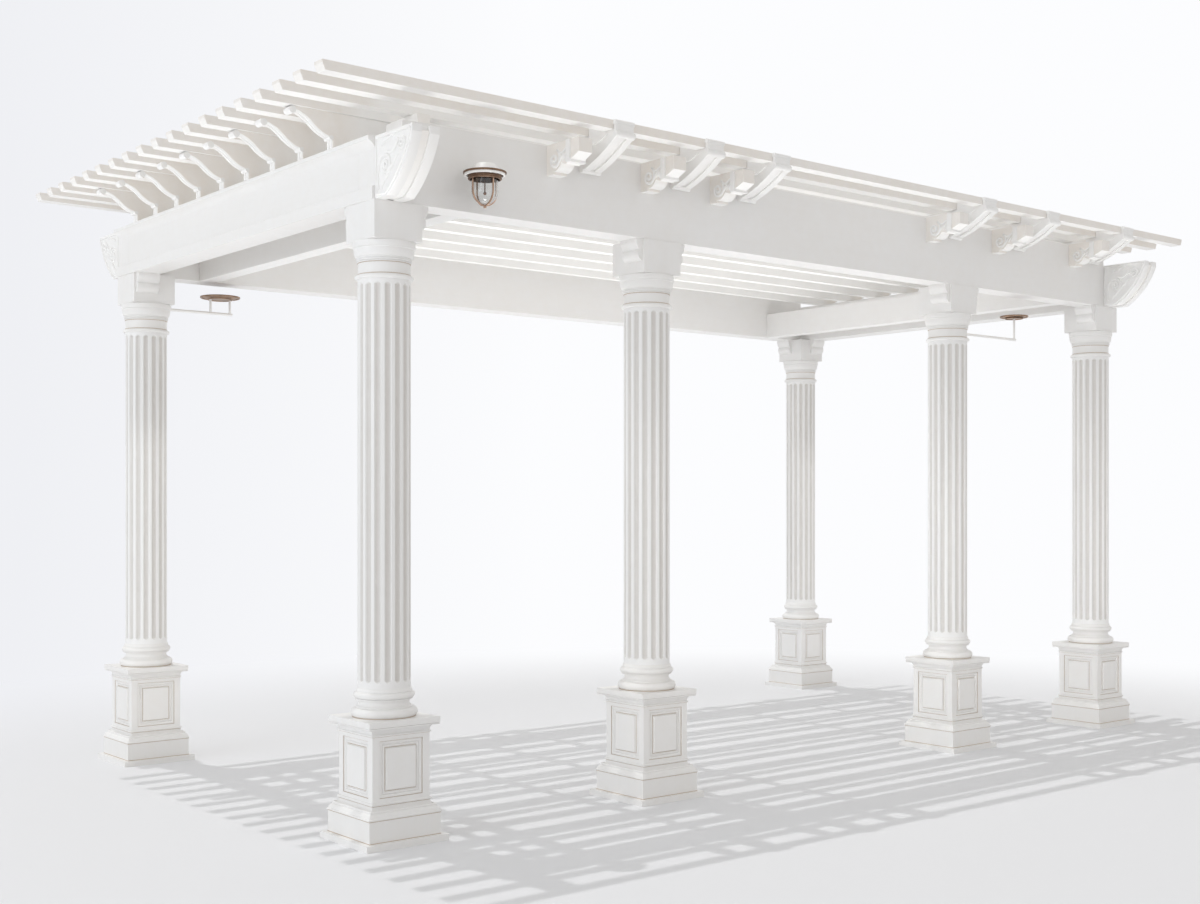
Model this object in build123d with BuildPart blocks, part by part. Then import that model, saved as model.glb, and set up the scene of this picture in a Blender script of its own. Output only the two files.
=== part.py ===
"""Free-standing column pergola: panelled pedestals, fluted columns, beams, joists, battens and roof slats."""
import os
from math import copysign, cos, radians, sin
from build123d import *

os.makedirs("parts", exist_ok=True)

# Plan: X runs along the length, Y along the depth, Z up from the ground.
length_between_axes = 4800
depth_between_axes = 2320
outer_bay = 1340

# Pedestal
base_plate_width = 360
base_plate_height = 25
plinth_side = 314
plinth_height = 88
base_mould_height = 46
die_side = 252
cap_side = 312
cap_mould_height = 30
cap_slab_height = 22
pedestal_height = 475
panel_width = 190
panel_height = 216
panel_sink = 8
field_width = 134
field_height = 162
field_slope = 25

# Column
base_height = 113
lower_torus_radius = 129
lower_torus_height = 38
lower_torus_bevel = 11
scotia_radius = 106
scotia_height = 32
upper_torus_radius = 118
upper_torus_height = 26
upper_torus_bevel = 8
shaft_radius = 102
flute_count = 16
flute_radius = 19
flute_depth = 7
flute_stop_length = 30
flute_margin_bottom = 24
flute_margin_top = 16
capital_height = 146
astragal_radius = 113
astragal_height = 18
astragal_bevel = 5
neck_height = 50
annulet_height = 16
annulet_reach = 6
abacus_radius = 121
abacus_height = 26
echinus_lip = 4
block_side = 212
block_height = 144
corbel_reach = 34
corbel_height = 96
corbel_width = 110
corbel_lip = 16

# Beams
beam_bottom = 2440
beam_width = 120
beam_face = 100
end_beam_height = 236
cornice_height = 46
cornice_reach = 30
band_height = 52
band_reach = 12
inner_beam_width = 90
inner_beam_height = 160
inner_beam_setback = 320

# Roof
joist_count = 9
joist_width = 45
joist_height = 138
joist_inset = 190
tail_reach = 300
tail_nose = 10
tail_step = 40
batten_width = 60
batten_height = 53
lap_gap = 0.5
slat_count = 19
slat_width = 60
slat_thickness = 38
slat_bevel = 12
eave_overhang = 324
end_overhang = 444

# Corner consoles
console_reach = 262
console_foot = 84
console_nose = 28
console_bulge = 17
console_thickness = 44
console_cover = 36
console_cover_setback = 14

# Eave brackets, placed by the left face of each scroll block as a share of the length
bracket_shares = (-0.3521, -0.2458, -0.1604, 0.1573, 0.2729, 0.4223)
scroll_width = 70
scroll_reach = 212
scroll_radius = 46
scroll_drop = 124
scroll_belly_reach = 128
scroll_belly_depth = 96
scroll_end_height = 58
scroll_crown = 22
post_side = 44
strap_gap = 100
strap_width = 96
strap_lap = 15
strap_drop = 134
strap_foot = 24
strap_nose = 30
strap_block_height = 32
strap_block_gap = 1
strap_groove_width = 26
strap_groove_depth = 9

# Lantern on the front face
lantern_setback = 319
lantern_reach = 120
lantern_rise = 138
canopy_radius = 66
canopy_height = 30
canopy_slope = 40
canopy_arm_width = 40
disc_radius = 84
disc_height = 6
globe_radius = 52
globe_height = 120
cage_gap = 2
cage_bar_thickness = 4
cage_bar_width = 6
finial_radius = 6
finial_height = 9

# Dish lamps on arms
dish_arm_radius = 7
dish_arm_tip = 12
dish_riser_radius = 6
dish_height = 14
dish_slope = 70
rear_dish_foot = 63
rear_dish_rise = 75
rear_dish_reach = 400
rear_riser_spread = 54
front_dish_foot = 38
front_dish_rise = 118
front_dish_reach = 590

# Derived levels and places
half_length = length_between_axes / 2
half_depth = depth_between_axes / 2
inner_axis = half_length - outer_bay
shaft_bottom = pedestal_height + base_height
block_bottom = beam_bottom - block_height
capital_bottom = block_bottom - capital_height
shaft_length = capital_bottom - shaft_bottom
end_beam_top = beam_bottom + end_beam_height
slat_bottom = end_beam_top + joist_height
slat_top = slat_bottom + slat_thickness
front_beam_top = slat_bottom - batten_height
front_face = half_depth + beam_face
end_face = half_length + beam_face
rear_inner_face = front_face - beam_width
end_inner_face = end_face - beam_width
beam_shift = beam_face - beam_width / 2
long_beam_axis = half_depth + beam_shift
end_beam_axis = half_length + beam_shift
bracket_places = [share * length_between_axes for share in bracket_shares]
batten_centres = [place + scroll_width + strap_gap + strap_width / 2 for place in bracket_places]
end_batten = -batten_centres[-1]
lantern_place = lantern_setback - half_length
lantern_height = beam_bottom + lantern_rise
rear_arm_height = block_bottom - abacus_height / 2
front_arm_height = capital_bottom + astragal_height + neck_height * 0.7
eave = half_depth + eave_overhang
roof_end = half_length + end_overhang

front_axes = [-half_length, -inner_axis, inner_axis, half_length]
columns = [(x, -half_depth) for x in front_axes]
columns += [(-half_length, half_depth), (half_length, half_depth)]


def wall(x, side):
    """Plane square to the front (side -1) or rear (side 1) face, its X axis pointing outward."""
    return Plane(origin=(x, side * front_face, 0), x_dir=(0, side, 0), z_dir=(side, 0, 0))


# Pedestal: the same moulded outline seen from two sides, crossed to mitre at the corners.
with BuildSketch() as pedestal_outline:
    with BuildLine():
        die_bottom = base_plate_height + plinth_height + base_mould_height
        die_top = pedestal_height - cap_slab_height - cap_mould_height
        mould_foot = (plinth_side / 2, base_plate_height + plinth_height)
        mould_head = (die_side / 2, die_bottom)
        mould_mid = ((mould_foot[0] + mould_head[0]) / 2, (mould_foot[1] + mould_head[1]) / 2)
        cap_foot = (die_side / 2, die_top)
        cap_head = (cap_side / 2, die_top + cap_mould_height)
        Polyline(
            (0, 0),
            (base_plate_width / 2, 0),
            (base_plate_width / 2, base_plate_height),
            (plinth_side / 2, base_plate_height),
            mould_foot,
        )
        TangentArc(mould_foot, mould_mid, tangent=(0, 1))
        TangentArc(mould_head, mould_mid, tangent=(0, -1))
        Line(mould_head, cap_foot)
        TangentArc(cap_foot, cap_head, tangent=(0, 1))
        Polyline(cap_head, (cap_side / 2, pedestal_height), (0, pedestal_height))
        mirror(about=Plane.YZ)
    make_face()

die_middle = (die_bottom + die_top) / 2
die_faces = [
    Plane(
        origin=(die_side / 2 * cos(radians(turn)), die_side / 2 * sin(radians(turn)), die_middle),
        x_dir=(-sin(radians(turn)), cos(radians(turn)), 0),
        z_dir=(cos(radians(turn)), sin(radians(turn)), 0),
    )
    for turn in (0, 90, 180, 270)
]
with BuildPart() as pedestal:
    with BuildSketch(Plane.XZ):
        add(pedestal_outline.sketch)
    extrude(amount=base_plate_width, both=True)
    with BuildSketch(Plane.YZ):
        add(pedestal_outline.sketch)
    extrude(amount=base_plate_width, both=True, mode=Mode.INTERSECT)
    with BuildSketch(*die_faces):
        Rectangle(panel_width, panel_height)
    extrude(amount=-panel_sink, mode=Mode.SUBTRACT)
    with BuildSketch(*[face.offset(-panel_sink) for face in die_faces]):
        Rectangle(field_width, field_height)
    extrude(amount=panel_sink, taper=field_slope)

for number, (x, y) in enumerate(columns, start=1):
    placed = pedestal.part.moved(Location((x, y, 0)))
    placed.label = f"pedestal_{number}"
    export_step(placed, f"parts/pedestal_{number}.step")

# Attic base: lower torus, scotia, upper torus and fillet under the shaft, each round in a few flats.
scotia_bottom = lower_torus_height
upper_torus_bottom = lower_torus_height + scotia_height
upper_torus_top = upper_torus_bottom + upper_torus_height
with BuildPart() as column_base:
    with BuildSketch(Plane.XZ):
        with BuildLine():
            Polyline(
                (0, 0),
                (lower_torus_radius - lower_torus_bevel, 0),
                (lower_torus_radius, lower_torus_bevel),
                (lower_torus_radius, lower_torus_height - lower_torus_bevel),
                (lower_torus_radius - lower_torus_bevel, scotia_bottom),
                (scotia_radius, scotia_bottom + scotia_height / 2),
                (upper_torus_radius - upper_torus_bevel, upper_torus_bottom),
                (upper_torus_radius, upper_torus_bottom + upper_torus_bevel),
                (upper_torus_radius, upper_torus_top - upper_torus_bevel),
                (upper_torus_radius - upper_torus_bevel, upper_torus_top),
                (scotia_radius, base_height),
                (0, base_height),
                close=True,
            )
        make_face()
    revolve(axis=Axis.Z)

with BuildPart() as column_bases:
    with Locations(*[(x, y, pedestal_height) for x, y in columns]):
        add(column_base.part)
column_bases.part.label = "column_bases"
export_step(column_bases.part, "parts/column_bases.step")

# Shaft: sixteen round-bottomed flutes that run out in tapered stops at both ends.
flute_axis = shaft_radius - flute_depth + flute_radius
flute_bottom = flute_margin_bottom + flute_depth
flute_top = shaft_length - flute_margin_top - flute_depth
with BuildPart() as flute_tool:
    with BuildSketch(Plane.XZ):
        with BuildLine():
            Polyline(
                (0, flute_bottom - flute_stop_length),
                (flute_radius, flute_bottom),
                (flute_radius, flute_top),
                (0, flute_top + flute_stop_length),
                close=True,
            )
        make_face()
    revolve(axis=Axis.Z)

with BuildPart() as shaft:
    Cylinder(shaft_radius, shaft_length, align=(Align.CENTER, Align.CENTER, Align.MIN))
    with PolarLocations(flute_axis, flute_count):
        add(flute_tool.part, mode=Mode.SUBTRACT)

for number, (x, y) in enumerate(columns, start=1):
    placed = shaft.part.moved(Location((x, y, shaft_bottom)))
    placed.label = f"shaft_{number}"
    export_step(placed, f"parts/shaft_{number}.step")

# Capital: astragal, necking, annulet, echinus and round abacus.
annulet_bottom = astragal_height + neck_height
echinus_bottom = annulet_bottom + annulet_height
abacus_bottom = capital_height - abacus_height
with BuildPart() as capital:
    with BuildSketch(Plane.XZ):
        with BuildLine():
            annulet_radius = shaft_radius + annulet_reach
            echinus_radius = abacus_radius - echinus_lip
            Polyline(
                (0, 0),
                (astragal_radius - astragal_bevel, 0),
                (astragal_radius, astragal_bevel),
                (astragal_radius, astragal_height - astragal_bevel),
                (astragal_radius - astragal_bevel, astragal_height),
                (shaft_radius, astragal_height),
                (shaft_radius, annulet_bottom),
                (annulet_radius, annulet_bottom),
                (annulet_radius, echinus_bottom),
                (echinus_radius, (echinus_bottom + abacus_bottom) / 2),
                (echinus_radius, abacus_bottom),
                (abacus_radius, abacus_bottom),
                (abacus_radius, capital_height),
                (0, capital_height),
                close=True,
            )
        make_face()
    revolve(axis=Axis.Z)

with BuildPart() as capitals:
    with Locations(*[(x, y, capital_bottom) for x, y in columns]):
        add(capital.part)
capitals.part.label = "capitals"
export_step(capitals.part, "parts/capitals.step")

# Impost blocks with small curved corbels that carry the beams beside them.
with BuildPart() as corbel:
    with BuildSketch(Plane.XZ):
        with BuildLine():
            root_x = block_side / 2
            Polyline(
                (root_x, beam_bottom - corbel_height),
                (root_x, beam_bottom),
                (root_x + corbel_reach, beam_bottom),
                (root_x + corbel_reach, beam_bottom - corbel_lip),
            )
            TangentArc(
                (root_x + corbel_reach, beam_bottom - corbel_lip),
                (root_x + corbel_reach / 2, beam_bottom - corbel_height / 2),
                tangent=(-0.2, -1),
            )
            TangentArc(
                (root_x, beam_bottom - corbel_height),
                (root_x + corbel_reach / 2, beam_bottom - corbel_height / 2),
                tangent=(1, 0.2),
            )
        make_face()
    extrude(amount=corbel_width / 2, both=True)

corbel_turns = [(0, 90), (0, 180), (0, 180), (180, 90), (0, -90), (180, -90)]
with BuildPart() as impost_blocks:
    with Locations(*[(x, y, block_bottom) for x, y in columns]):
        Box(block_side, block_side, block_height, align=(Align.CENTER, Align.CENTER, Align.MIN))
    for (x, y), turns in zip(columns, corbel_turns):
        for turn in turns:
            aside_x = copysign(beam_shift, x) if abs(turn) == 90 else 0
            aside_y = 0 if abs(turn) == 90 else copysign(beam_shift, y)
            with Locations(Location((x + aside_x, y + aside_y, 0), (0, 0, turn))):
                add(corbel.part)
impost_blocks.part.label = "impost_blocks"
export_step(impost_blocks.part, "parts/impost_blocks.step")

# Front and rear beams run through the corners; their top edge stops short at the ends.
for name, side in (("front_beam", -1), ("rear_beam", 1)):
    with BuildPart() as long_beam:
        with BuildSketch(Plane.XZ.offset(-side * long_beam_axis)):
            with BuildLine():
                Polyline(
                    (-end_face, beam_bottom),
                    (end_face, beam_bottom),
                    (end_face, end_beam_top),
                    (end_inner_face, end_beam_top),
                    (end_inner_face, front_beam_top),
                    (-end_inner_face, front_beam_top),
                    (-end_inner_face, end_beam_top),
                    (-end_face, end_beam_top),
                    close=True,
                )
            make_face()
        extrude(amount=beam_width / 2, both=True)
    long_beam.part.label = name
    export_step(long_beam.part, f"parts/{name}.step")

# End beams, their mouldings and the inner cross beams fit between the long beams.
for name, side in (("left", -1), ("right", 1)):
    with BuildPart() as end_beam:
        with Locations((side * end_beam_axis, 0, beam_bottom)):
            Box(
                beam_width,
                2 * rear_inner_face,
                end_beam_height,
                align=(Align.CENTER, Align.CENTER, Align.MIN),
            )
    end_beam.part.label = f"{name}_end_beam"
    export_step(end_beam.part, f"parts/{name}_end_beam.step")

    with BuildPart() as mouldings:
        with BuildSketch(Plane(origin=(side * end_face, 0, 0), x_dir=(side, 0, 0), z_dir=(0, -side, 0))):
            with BuildLine():
                Polyline(
                    (0, end_beam_top - cornice_height),
                    (0, end_beam_top),
                    (cornice_reach, end_beam_top),
                    (cornice_reach, end_beam_top - cornice_height / 3),
                )
                TangentArc(
                    (0, end_beam_top - cornice_height),
                    (cornice_reach, end_beam_top - cornice_height / 3),
                    tangent=(0.3, 1),
                )
            make_face()
            with BuildLine():
                Polyline(
                    (0, beam_bottom),
                    (band_reach, beam_bottom),
                    (band_reach, beam_bottom + band_height - band_reach / 2),
                    (0, beam_bottom + band_height),
                    close=True,
                )
            make_face()
        extrude(amount=front_face, both=True)
    mouldings.part.label = f"{name}_end_mouldings"
    export_step(mouldings.part, f"parts/{name}_end_mouldings.step")

    with BuildPart() as inner_beam:
        with Locations((side * (half_length - inner_beam_setback), 0, beam_bottom)):
            Box(
                inner_beam_width,
                2 * rear_inner_face,
                inner_beam_height,
                align=(Align.CENTER, Align.CENTER, Align.MIN),
            )
    inner_beam.part.label = f"{name}_inner_beam"
    export_step(inner_beam.part, f"parts/{name}_inner_beam.step")

# Joists with cyma tails at both ends, lapped for the battens.
joist_pitch = 2 * (half_depth - joist_inset) / (joist_count - 1)
joist_places = [joist_inset - half_depth + joist_pitch * number for number in range(joist_count)]
tail_end = half_length + tail_reach
tail_root = end_face + cornice_reach
tail_foot = (tail_root, end_beam_top + tail_step)
tail_tip = (tail_end, slat_bottom - tail_nose)
tail_middle = ((tail_foot[0] + tail_tip[0]) / 2, (tail_foot[1] + tail_tip[1]) / 2)
with BuildSketch() as joist_outline:
    with BuildLine():
        Polyline((0, end_beam_top), (tail_root, end_beam_top), tail_foot)
        TangentArc(tail_foot, tail_middle, tangent=(1, 0.18))
        TangentArc(tail_tip, tail_middle, tangent=(-1, -0.18))
        Polyline((tail_end, slat_bottom - tail_nose), (tail_end, slat_bottom), (0, slat_bottom))
        mirror(about=Plane.YZ)
    make_face()

with BuildPart() as joists:
    with BuildSketch(*[Plane.XZ.offset(-y) for y in joist_places]):
        add(joist_outline.sketch)
    extrude(amount=joist_width / 2, both=True)
    with Locations(*[(x, 0, front_beam_top) for x in [end_batten] + batten_centres]):
        Box(
            batten_width + 2 * lap_gap,
            depth_between_axes,
            batten_height,
            align=(Align.CENTER, Align.CENTER, Align.MIN),
            mode=Mode.SUBTRACT,
        )
joists.part.label = "joists"
export_step(joists.part, "parts/joists.step")

# Battens lie across the long beams, pass through the joist laps and carry the slats.
with BuildPart() as battens:
    with Locations(*[(x, 0, front_beam_top) for x in batten_centres]):
        Box(
            batten_width,
            2 * front_face,
            batten_height,
            align=(Align.CENTER, Align.CENTER, Align.MIN),
        )
    with Locations((end_batten, 0, front_beam_top)):
        Box(
            batten_width,
            2 * long_beam_axis,
            batten_height,
            align=(Align.CENTER, Align.CENTER, Align.MIN),
        )
battens.part.label = "battens"
export_step(battens.part, "parts/battens.step")

# Slats along the length with undercut ends.
slat_pitch = (2 * eave - slat_width) / (slat_count - 1)
slat_places = [slat_width / 2 - eave + slat_pitch * number for number in range(slat_count)]
with BuildPart() as slats:
    with BuildSketch(*[Plane.XZ.offset(-y) for y in slat_places]):
        with BuildLine():
            Polyline(
                (slat_bevel - roof_end, slat_bottom),
                (roof_end - slat_bevel, slat_bottom),
                (roof_end, slat_top - slat_bevel),
                (roof_end, slat_top),
                (-roof_end, slat_top),
                (-roof_end, slat_top - slat_bevel),
                close=True,
            )
        make_face()
    extrude(amount=slat_width / 2, both=True)
slats.part.label = "slats"
export_step(slats.part, "parts/slats.step")

# Corner consoles: two bellied cheeks joined by a cover board along the top.
outer_board = end_face - console_thickness / 2
inner_board = end_inner_face + console_thickness / 2
belly_foot = (console_foot, beam_bottom)
belly_head = (console_reach, end_beam_top - console_nose)
belly_mid = (
    (belly_foot[0] + belly_head[0]) / 2 + console_bulge,
    (belly_foot[1] + belly_head[1]) / 2 - console_bulge,
)
for name, end, side in (
    ("console_front_left", -1, -1),
    ("console_front_right", 1, -1),
    ("console_rear_left", -1, 1),
    ("console_rear_right", 1, 1),
):
    with BuildPart() as console:
        with BuildSketch(wall(end * outer_board, side), wall(end * inner_board, side)):
            with BuildLine():
                Polyline(
                    belly_head,
                    (console_reach, end_beam_top),
                    (0, end_beam_top),
                    (0, beam_bottom),
                    belly_foot,
                )
                ThreePointArc(belly_head, belly_mid, belly_foot)
            make_face()
        extrude(amount=console_thickness / 2, both=True)
        cover_reach = console_reach - console_cover_setback
        with Locations((end * end_beam_axis, side * (front_face + cover_reach / 2), end_beam_top)):
            Box(
                beam_width - console_thickness,
                cover_reach,
                console_cover,
                align=(Align.CENTER, Align.CENTER, Align.MAX),
            )
    console.part.label = name
    export_step(console.part, f"parts/{name}.step")

# Eave brackets: a scroll block with a drop post, and a ridged strap console at the end of each batten.
scroll_bottom = front_beam_top - scroll_drop
strap_reach = eave - front_face + strap_block_gap + strap_lap
lap_foot = strap_reach - strap_lap
lap_top = slat_bottom + strap_block_height
block_middle = eave - (slat_pitch + slat_width) / 2
block_depth = slat_pitch - slat_width - 2 * strap_block_gap
ridge_width = (strap_width - strap_groove_width) / 2
ridge_offset = (strap_width - ridge_width) / 2
scroll_centre = (post_side / 2 + scroll_radius * 0.7, front_beam_top - scroll_radius - scroll_crown)
for name, side in (("front", -1), ("rear", 1)):
    with BuildPart() as scrolls:
        with BuildSketch(*[wall(x + scroll_width / 2, side) for x in bracket_places]):
            with BuildLine():
                Polyline(
                    (0, scroll_bottom),
                    (post_side, scroll_bottom),
                    (post_side, scroll_centre[1]),
                    (scroll_belly_reach, front_beam_top - scroll_belly_depth),
                    (scroll_reach, front_beam_top - scroll_end_height),
                    (scroll_reach, front_beam_top),
                    (0, front_beam_top),
                    close=True,
                )
            make_face()
            with Locations(scroll_centre):
                Circle(scroll_radius)
        extrude(amount=scroll_width / 2, both=True)
    scrolls.part.label = f"{name}_scrolls"
    export_step(scrolls.part, f"parts/{name}_scrolls.step")

    with BuildPart() as straps:
        for planes, thickness, rise in (
            ([wall(x, side) for x in batten_centres], strap_width, strap_groove_depth),
            ([wall(x - ridge_offset, side) for x in batten_centres], ridge_width, 0),
            ([wall(x + ridge_offset, side) for x in batten_centres], ridge_width, 0),
        ):
            strap_bottom = slat_bottom - strap_drop + rise
            nose_bottom = slat_bottom - strap_nose + rise
            with BuildSketch(*planes):
                with BuildLine():
                    Polyline(
                        (strap_reach, nose_bottom),
                        (strap_reach, lap_top),
                        (lap_foot, lap_top),
                        (lap_foot, slat_bottom),
                        (0, slat_bottom),
                        (0, strap_bottom),
                        (strap_foot, strap_bottom),
                    )
                    TangentArc((strap_foot, strap_bottom), (strap_reach, nose_bottom), tangent=(1, 0.3))
                make_face()
            extrude(amount=thickness / 2, both=True)
        with Locations(*[(x, side * block_middle, slat_bottom) for x in batten_centres]):
            Box(
                strap_width,
                block_depth,
                strap_block_height,
                align=(Align.CENTER, Align.CENTER, Align.MIN),
            )
    straps.part.label = f"{name}_straps"
    export_step(straps.part, f"parts/{name}_straps.step")

# Lantern: arm and canopy, disc, caged glass globe.
lantern_y = -front_face - lantern_reach
with BuildPart() as lantern_canopy:
    with BuildSketch(Plane((lantern_place, lantern_y, lantern_height))):
        Circle(canopy_radius)
    extrude(amount=canopy_height, taper=canopy_slope)
    with BuildSketch(Plane.XZ.offset(front_face)):
        with Locations((lantern_place, lantern_height + canopy_height / 2)):
            Rectangle(canopy_arm_width, canopy_height)
    extrude(amount=lantern_reach)
lantern_canopy.part.label = "lantern_canopy"
export_step(lantern_canopy.part, "parts/lantern_canopy.step")

globe_top = lantern_height - disc_height
with BuildPart() as lantern_globe:
    with BuildSketch(Plane.XZ):
        with BuildLine():
            Polyline(
                (0, 0),
                (globe_radius, 0),
                (globe_radius, globe_radius - globe_height),
                (globe_radius * cos(radians(45)), globe_radius * (1 - sin(radians(45))) - globe_height),
                (0, -globe_height),
                close=True,
            )
        make_face()
    revolve(axis=Axis.Z)
placed = lantern_globe.part.moved(Location((lantern_place, lantern_y, globe_top)))
placed.label = "lantern_globe"
export_step(placed, "parts/lantern_globe.step")

hoop_inner = globe_radius + cage_gap
hoop_outer = hoop_inner + cage_bar_thickness
hoop_straight = globe_height - globe_radius
with BuildSketch() as hoop_outline:
    with Locations((0, -hoop_straight)):
        Circle(hoop_outer)
    with Locations((0, -hoop_straight / 2)):
        Rectangle(2 * hoop_outer, hoop_straight)
    with Locations((0, -hoop_straight)):
        Circle(hoop_inner, mode=Mode.SUBTRACT)
    with Locations((0, -hoop_straight / 2)):
        Rectangle(2 * hoop_inner, hoop_straight, mode=Mode.SUBTRACT)

with BuildPart() as lantern_cage:
    Cylinder(disc_radius, disc_height, align=(Align.CENTER, Align.CENTER, Align.MIN))
    with BuildSketch(Plane.XZ):
        add(hoop_outline.sketch)
    extrude(amount=cage_bar_width / 2, both=True)
    with BuildSketch(Plane.YZ):
        add(hoop_outline.sketch)
    extrude(amount=cage_bar_width / 2, both=True)
    with Locations((0, 0, -hoop_straight - hoop_inner - cage_bar_thickness / 2)):
        Cylinder(finial_radius, finial_height, align=(Align.CENTER, Align.CENTER, Align.MAX))
placed = lantern_cage.part.moved(Location((lantern_place, lantern_y, globe_top)))
placed.label = "lantern_cage"
export_step(placed, "parts/lantern_cage.step")

# Dish lamps: a thin arm from the capital and a shallow dish, on two risers at the rear and one in front.
with BuildPart() as dish_lamp_rear:
    with BuildSketch(Plane(origin=(abacus_radius - half_length, half_depth, rear_arm_height), z_dir=(1, 0, 0))):
        Circle(dish_arm_radius)
    extrude(amount=rear_dish_reach + rear_riser_spread + dish_arm_tip - abacus_radius)
    rear_dish_x = rear_dish_reach - half_length
    riser_places = [rear_dish_x - rear_riser_spread, rear_dish_x + rear_riser_spread]
    with Locations(*[(x, half_depth, rear_arm_height) for x in riser_places]):
        Cylinder(dish_riser_radius, rear_dish_rise, align=(Align.CENTER, Align.CENTER, Align.MIN))
    with BuildSketch(Plane((rear_dish_x, half_depth, rear_arm_height + rear_dish_rise))):
        Circle(rear_dish_foot)
    extrude(amount=dish_height, taper=-dish_slope)
dish_lamp_rear.part.label = "dish_lamp_rear"
export_step(dish_lamp_rear.part, "parts/dish_lamp_rear.step")

with BuildPart() as dish_lamp_front:
    with BuildSketch(Plane(origin=(inner_axis + shaft_radius, -half_depth, front_arm_height), z_dir=(1, 0, 0))):
        Circle(dish_arm_radius)
    extrude(amount=front_dish_reach + dish_arm_tip - shaft_radius)
    front_dish_x = inner_axis + front_dish_reach
    with Locations((front_dish_x, -half_depth, front_arm_height)):
        Cylinder(dish_riser_radius, front_dish_rise, align=(Align.CENTER, Align.CENTER, Align.MIN))
    with BuildSketch(Plane((front_dish_x, -half_depth, front_arm_height + front_dish_rise))):
        Circle(front_dish_foot)
    extrude(amount=dish_height, taper=-dish_slope)
dish_lamp_front.part.label = "dish_lamp_front"
export_step(dish_lamp_front.part, "parts/dish_lamp_front.step")
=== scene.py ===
"""Finishes, turned and carved detail, lamps and studio stage for a free-standing column pergola."""

from math import cos, pi, radians, sin, tau

import bpy
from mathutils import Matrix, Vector


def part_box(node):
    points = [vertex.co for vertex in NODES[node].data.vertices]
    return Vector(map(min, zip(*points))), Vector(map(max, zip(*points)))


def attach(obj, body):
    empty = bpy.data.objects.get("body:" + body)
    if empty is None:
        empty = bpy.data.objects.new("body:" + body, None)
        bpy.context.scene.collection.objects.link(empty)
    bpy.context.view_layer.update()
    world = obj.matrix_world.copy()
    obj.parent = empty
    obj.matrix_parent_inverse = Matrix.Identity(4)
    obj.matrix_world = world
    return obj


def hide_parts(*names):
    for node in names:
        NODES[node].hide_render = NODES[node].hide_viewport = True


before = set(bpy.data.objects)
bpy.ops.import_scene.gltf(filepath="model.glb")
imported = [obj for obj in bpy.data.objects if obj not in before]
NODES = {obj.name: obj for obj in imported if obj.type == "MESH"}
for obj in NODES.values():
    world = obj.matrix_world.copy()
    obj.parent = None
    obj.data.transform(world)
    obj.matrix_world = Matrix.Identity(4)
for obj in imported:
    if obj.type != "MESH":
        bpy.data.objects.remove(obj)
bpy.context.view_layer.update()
ROOT = "root"

bl_info = {
    "name": "Column Pergola",
    "version": (1, 0, 0),
    "blender": (4, 5, 0),
    "location": "View3D > Sidebar > Pergola",
    "description": "Paint, turned mouldings, carved brackets, lamps and stage for a column pergola",
    "category": "Object",
}

PEDESTALS = [f"pedestal_{number}" for number in range(1, 7)]
SHAFTS = [f"shaft_{number}" for number in range(1, 7)]
LONG_BEAMS = ["front_beam", "rear_beam"]
CROSS_BEAMS = ["left_end_beam", "right_end_beam", "left_inner_beam", "right_inner_beam"]
MOULDINGS = ["left_end_mouldings", "right_end_mouldings"]
CONSOLES = [f"console_{side}_{end}" for side in ("front", "rear") for end in ("left", "right")]
DISH_LAMPS = ["dish_lamp_rear", "dish_lamp_front"]


def middle(node):
    """Centre of a CAD node's box."""
    low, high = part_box(node)
    return (low + high) / 2


def extent(node):
    """Size of a CAD node's box."""
    low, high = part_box(node)
    return high - low


COLUMN_AXES = [middle(name) for name in SHAFTS]
OUTER_AXIS = max(axis.x for axis in COLUMN_AXES)
INNER_AXIS = min(abs(axis.x) for axis in COLUMN_AXES)
ROW_AXIS = abs(COLUMN_AXES[0].y)
SHAFT_RADIUS = extent(SHAFTS[0]).x / 2
UP = Vector((0, 0, 1))

# Scale of the brush marks along X, Y and Z; the small value runs with the grain.
UPRIGHT_GRAIN = (46.0, 46.0, 2.2)
LENGTHWISE_GRAIN = (2.0, 46.0, 46.0)
CROSSWISE_GRAIN = (46.0, 2.0, 46.0)
CARVED_GRAIN = (30.0, 30.0, 30.0)
ROOF_GRAIN = (2.0, 60.0, 60.0)

# Depth below the shaft's surface at which the painted shade in a flute begins and is full.
FLUTE_SHADE_START = 0.0005
FLUTE_SHADE_FULL = 0.0055

# Pedestal trim: half the die's side, the sink of its panels, and the level of their middle
# as a share of the height.
DIE_HALF = 0.126
PANEL_SINK = 0.008
PANEL_LEVEL = 0.6126
# Belts: level as a share of the height, half the side they run round, width and height.
PEDESTAL_BELTS = (
    (0.884, DIE_HALF, 0.009, 0.005),
    (0.290, 0.1415, 0.011, 0.005),
    (0.945, 0.1515, 0.007, 0.004),
    (0.343, DIE_HALF, 0.012, 0.007),
    (0.238, 0.157, 0.009, 0.004),
)
# Thin brown lines of painted shade in the creases of the pedestals, as belts laid out like those above.
SEAM_BELTS = (
    (0.0535, 0.1572, 0.004, 0.0016),
    (0.3300, DIE_HALF, 0.003, 0.0016),
    (0.8760, DIE_HALF, 0.003, 0.0016),
    (0.2270, 0.157, 0.003, 0.0014),
)
# Panel frames: half width, half height, then the moulding's width and height.
PANEL_FRAMES = ((0.0885, 0.1015, 0.0135, 0.0065), (0.0755, 0.0890, 0.008, 0.0045))
# Thin brown lines of painted shade round the panel frames, laid out like the frames above.
SEAM_FRAMES = ((0.0942, 0.1072, 0.003, 0.0066), (0.0680, 0.0820, 0.0018, 0.0012))
# Painted shade lines in the seams round a capital: level as a share of its height, reach as a share of
# the shaft's radius.
CAPITAL_SEAMS = ((0.135, 1.0), (0.435, 0.99))

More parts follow.
